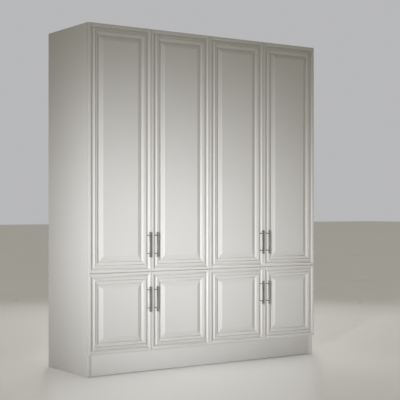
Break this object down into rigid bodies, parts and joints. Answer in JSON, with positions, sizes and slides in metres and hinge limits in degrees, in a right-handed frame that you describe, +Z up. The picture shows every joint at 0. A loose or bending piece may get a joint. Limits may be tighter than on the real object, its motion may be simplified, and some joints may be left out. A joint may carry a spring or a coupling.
{
  "type": "armoire",
  "caption": "Fitted armoire with tall doors over short ones, moulded frames round raised panels, bar handles, and hanging and shelf space on a plinth.",
  "frame": {"origin": "centre of the footprint, on the floor", "axes": "+Z up, the doors face -Y, +X to the right of someone who faces the doors"},
  "size_m": [2, 0.63, 2.4],
  "materials": {
    "paint": "satin paint on wood-fibre board",
    "lining": "matt laminated board",
    "back_board": "matt laminated board",
    "handle_steel": "satin",
    "hinge_nickel": "nickel plate",
    "rail_chrome": "polished",
    "leg_plastic": "black",
    "bumper": "translucent"
  },
  "bodies": {
    "carcass": {"end_panel_left": "paint", "end_panel_right": "paint", "inner_side_left": "lining", "inner_side_right": "lining", "top_board_left": "lining", "top_board_right": "lining", "deck_left": "lining", "deck_right": "lining", "bottom_board_left": "lining", "bottom_board_right": "lining", "hat_shelf_left": "lining", "hat_shelf_right": "lining", "low_shelf_left": "lining", "low_shelf_right": "lining", "back_panel_left": "back_board", "back_panel_right": "back_board", "hanging_rail_left": "rail_chrome", "hanging_rail_right": "rail_chrome", "rail_sockets": "hinge_nickel", "shelf_pins": "hinge_nickel", "wall_rails": "back_board", "plinth_board": "paint", "plinth_clips": "leg_plastic", "levelling_legs": "leg_plastic", "hinge_plates": "hinge_nickel", "hinge_arms": "hinge_nickel", "board_fittings": "hinge_nickel", "door_bumpers": "bumper"},
    "tall_door_1": {"tall_frame_1": "paint", "tall_panel_1": "paint", "tall_handle_1": "handle_steel", "tall_cups_1": "hinge_nickel"},
    "tall_door_2": {"tall_frame_2": "paint", "tall_panel_2": "paint", "tall_handle_2": "handle_steel", "tall_cups_2": "hinge_nickel"},
    "tall_door_3": {"tall_frame_3": "paint", "tall_panel_3": "paint", "tall_handle_3": "handle_steel", "tall_cups_3": "hinge_nickel"},
    "tall_door_4": {"tall_frame_4": "paint", "tall_panel_4": "paint", "tall_handle_4": "handle_steel", "tall_cups_4": "hinge_nickel"},
    "low_door_1": {"low_frame_1": "paint", "low_panel_1": "paint", "low_handle_1": "handle_steel", "low_cups_1": "hinge_nickel"},
    "low_door_2": {"low_frame_2": "paint", "low_panel_2": "paint", "low_handle_2": "handle_steel", "low_cups_2": "hinge_nickel"},
    "low_door_3": {"low_frame_3": "paint", "low_panel_3": "paint", "low_handle_3": "handle_steel", "low_cups_3": "hinge_nickel"},
    "low_door_4": {"low_frame_4": "paint", "low_panel_4": "paint", "low_handle_4": "handle_steel", "low_cups_4": "hinge_nickel"}
  },
  "joints": [
    {"name": "tall_door_1_hinge", "type": "hinge", "parent": "carcass", "child": "tall_door_1", "pos_m": [-0.9985, -0.285, 1.55], "axis": [0, 0, -1], "range_deg": [0, 110]},
    {"name": "tall_door_2_hinge", "type": "hinge", "parent": "carcass", "child": "tall_door_2", "pos_m": [-0.0015, -0.285, 1.55], "axis": [0, 0, 1], "range_deg": [0, 85]},
    {"name": "tall_door_3_hinge", "type": "hinge", "parent": "carcass", "child": "tall_door_3", "pos_m": [0.0015, -0.285, 1.55], "axis": [0, 0, -1], "range_deg": [0, 85]},
    {"name": "tall_door_4_hinge", "type": "hinge", "parent": "carcass", "child": "tall_door_4", "pos_m": [0.9985, -0.285, 1.55], "axis": [0, 0, 1], "range_deg": [0, 110]},
    {"name": "low_door_1_hinge", "type": "hinge", "parent": "carcass", "child": "low_door_1", "pos_m": [-0.9985, -0.285, 0.42425], "axis": [0, 0, -1], "range_deg": [0, 110]},
    {"name": "low_door_2_hinge", "type": "hinge", "parent": "carcass", "child": "low_door_2", "pos_m": [-0.0015, -0.285, 0.42425], "axis": [0, 0, 1], "range_deg": [0, 85]},
    {"name": "low_door_3_hinge", "type": "hinge", "parent": "carcass", "child": "low_door_3", "pos_m": [0.0015, -0.285, 0.42425], "axis": [0, 0, -1], "range_deg": [0, 85]},
    {"name": "low_door_4_hinge", "type": "hinge", "parent": "carcass", "child": "low_door_4", "pos_m": [0.9985, -0.285, 0.42425], "axis": [0, 0, 1], "range_deg": [0, 110]}
  ]
}
